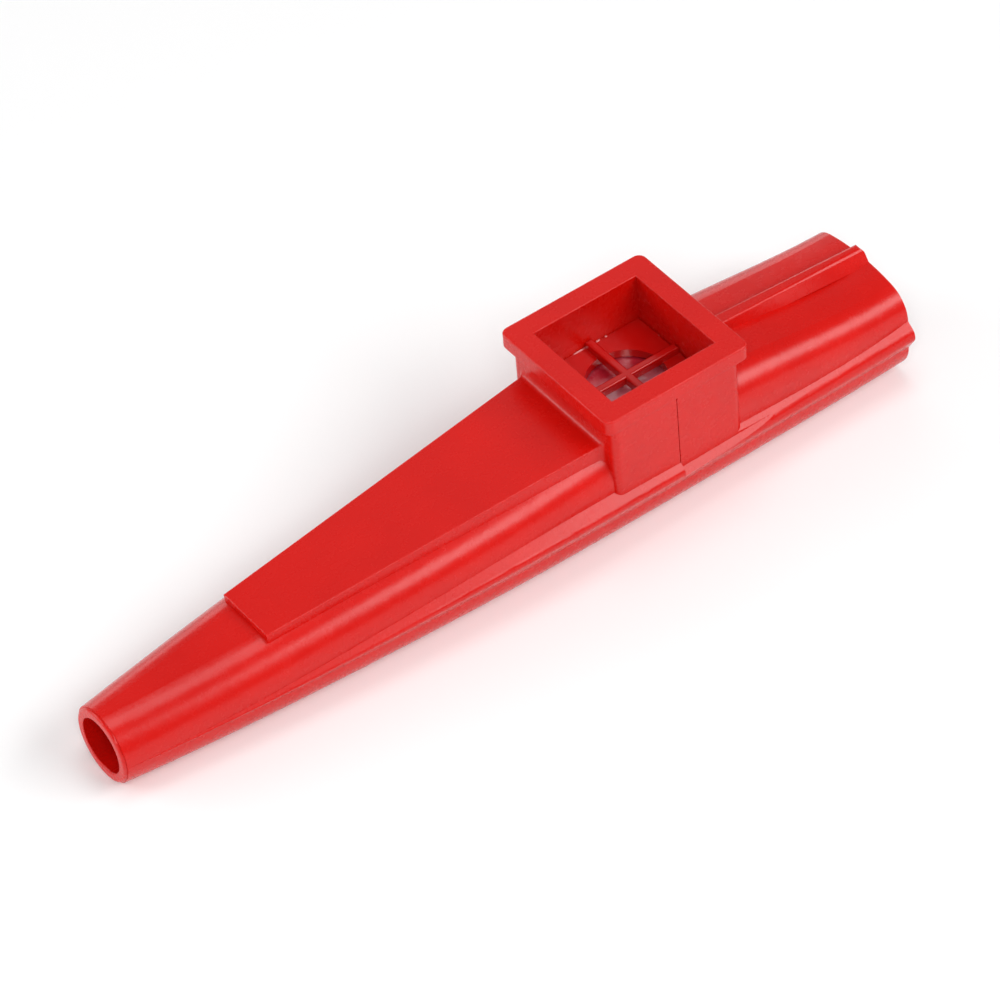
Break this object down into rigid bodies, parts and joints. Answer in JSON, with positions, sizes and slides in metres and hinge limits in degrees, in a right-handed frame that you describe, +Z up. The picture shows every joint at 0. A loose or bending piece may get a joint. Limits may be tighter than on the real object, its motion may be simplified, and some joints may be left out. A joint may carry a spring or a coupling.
{
  "type": "kazoo",
  "caption": "Hollow tapered moulded kazoo with a square turret holding a film under a pressed-in cross plate.",
  "frame": {"origin": "centre of the flat underside, midway between the two ends", "axes": "+X along the tube towards the wide mouthpiece end, +Z up through the turret, Y across"},
  "size_m": [0.1202, 0.0234, 0.0235],
  "materials": {
    "red_body": "satin moulded red with a very fine grain",
    "red_retainer": "satin moulded red",
    "film": "thin translucent grey-mauve film"
  },
  "bodies": {
    "shell": {"body": "red_body"},
    "retainer": {"retainer": "red_retainer"},
    "membrane": {"membrane": "film"}
  },
  "joints": [
    {"name": "retainer_lift", "type": "slide", "parent": "shell", "child": "retainer", "axis": [0, 0, 1], "range_m": [0, 0.015]},
    {"name": "membrane_lift", "type": "slide", "parent": "shell", "child": "membrane", "axis": [0, 0, 1], "range_m": [0, 0.00975]}
  ],
  "couplings": [
    {"joint": "membrane_lift", "follows": "retainer_lift", "ratio": 0.65}
  ]
}
